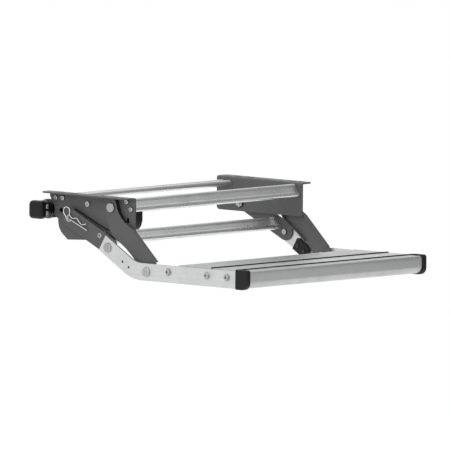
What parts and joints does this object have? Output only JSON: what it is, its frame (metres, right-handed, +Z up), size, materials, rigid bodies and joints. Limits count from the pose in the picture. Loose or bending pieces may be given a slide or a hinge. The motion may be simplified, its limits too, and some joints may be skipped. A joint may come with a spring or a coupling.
{
  "type": "caravan pull-out step",
  "caption": "Swing-out entrance step: grooved aluminium tread on bent rails, carried by paired arms between bolt-on side plates and driven by a motor.",
  "frame": {"origin": "middle of the mounting plane: on top of the two flanges, midway between the side plates and midway between the front and rear mounting slots", "axes": "+X runs across the step, from the motor's side plate to the other one; -Y points out of the doorway, towards the tread's nose; +Z is up"},
  "size_m": [0.577, 0.6028, 0.1692],
  "materials": {
    "sheet": "satin",
    "profile": "satin",
    "zinc": "satin",
    "wire": "polished",
    "nylon": "matte",
    "black_plastic": "satin",
    "motor_black": "satin",
    "rubber": "matte"
  },
  "bodies": {
    "frame": {"side_plate_left": "sheet", "side_plate_right": "sheet", "rear_cross_member": "profile", "front_cross_member": "profile", "rear_member_screws": "zinc", "front_member_screws": "zinc", "front_pivot_pins": "zinc", "front_pivot_nuts": "zinc", "front_pivot_bushes": "nylon", "rear_pivot_bushes": "nylon", "drive_housing": "black_plastic", "drive_housing_lid": "black_plastic", "housing_mount_screw": "zinc", "motor_flange": "motor_black", "motor_can": "motor_black", "motor_band": "zinc", "motor_end_cap": "motor_black", "motor_gearhead": "zinc", "cable_gland": "black_plastic"},
    "crank": {"drive_crank": "zinc"},
    "link": {"drive_link": "zinc"},
    "front_arms": {"front_arm_left": "sheet", "front_arm_right": "sheet"},
    "rear_arms": {"rear_arm_left": "sheet", "rear_arm_right": "sheet", "tie_member": "profile", "tie_member_screws": "zinc", "drive_hub": "zinc", "drive_lever": "zinc", "rear_pivot_bolt": "zinc", "rear_pivot_nut": "zinc", "rear_arm_inserts": "zinc", "release_pin": "zinc", "retaining_clip": "wire"},
    "step": {"rail_left": "profile", "rail_right": "profile", "tread_rear_plank": "profile", "tread_middle_plank": "profile", "tread_nose": "profile", "end_cap_left": "black_plastic", "end_cap_right": "black_plastic", "tread_screws": "zinc", "stop_blocks": "rubber", "stop_block_screws": "zinc", "step_pivot_bolts": "zinc", "step_pivot_nuts": "zinc", "step_pivot_spacers": "nylon", "rail_tail_bolts": "zinc"}
  },
  "joints": [
    {"name": "front_arm_swing", "type": "hinge", "parent": "frame", "child": "front_arms", "pos_m": [0, -0.06, -0.023], "axis": [1, 0, 0], "range_deg": [0, 86]},
    {"name": "rear_arm_swing", "type": "hinge", "parent": "frame", "child": "rear_arms", "pos_m": [0, 0.0535, -0.0525], "axis": [1, 0, 0], "range_deg": [0, 132]},
    {"name": "step_tilt", "type": "hinge", "parent": "front_arms", "child": "step", "pos_m": [0, -0.1696, -0.14953], "axis": [1, 0, 0], "range_deg": [-88.7, 0]},
    {"name": "crank_turn", "type": "hinge", "parent": "frame", "child": "crank", "pos_m": [-0.222, 0.13, -0.039], "axis": [1, 0, 0], "range_deg": [0, 132]},
    {"name": "link_swing", "type": "hinge", "parent": "crank", "child": "link", "pos_m": [-0.2147, 0.13901, -0.03269], "axis": [1, 0, 0], "range_deg": [-132, 0]}
  ],
  "couplings": [
    {"joint": "rear_arm_swing", "follows": "front_arm_swing", "ratio": 1.5313},
    {"joint": "step_tilt", "follows": "front_arm_swing", "ratio": -1.0278},
    {"joint": "crank_turn", "follows": "front_arm_swing", "ratio": 1.5313},
    {"joint": "link_swing", "follows": "front_arm_swing", "ratio": -1.5313}
  ]
}
